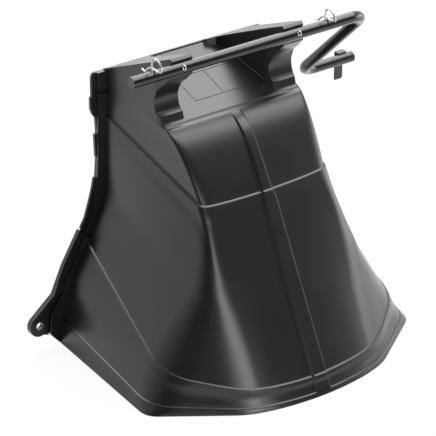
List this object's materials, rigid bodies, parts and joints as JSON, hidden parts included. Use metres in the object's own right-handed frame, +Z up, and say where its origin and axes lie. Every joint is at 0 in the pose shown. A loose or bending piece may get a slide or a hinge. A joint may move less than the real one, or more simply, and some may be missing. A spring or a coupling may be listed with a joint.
{
  "type": "mower deck deflector",
  "caption": "Moulded black rear discharge deflector for a mower deck, hung on a cranked hinge rod with two split pins, two R-clips and a latch plate.",
  "frame": {"origin": "middle of the hood's top rear rim, on the rear face that bears on the machine", "axes": "+X along the hinge rod towards its crank, +Y from the hood towards the machine, +Z up"},
  "size_m": [0.5765, 0.3494, 0.4685],
  "materials": {
    "moulded_plastic": "black satin moulded plastic with a fine moulded grain",
    "painted_steel": "black gloss powder paint on steel bar",
    "zinc_wire": "bright zinc plated spring wire"
  },
  "bodies": {
    "root": {"deflector_shell": "moulded_plastic", "hinge_rod": "painted_steel", "latch_plate": "painted_steel", "r_clip_left": "zinc_wire", "r_clip_right": "zinc_wire", "split_pin_left": "zinc_wire", "split_pin_right": "zinc_wire"}
  },
  "joints": []
}
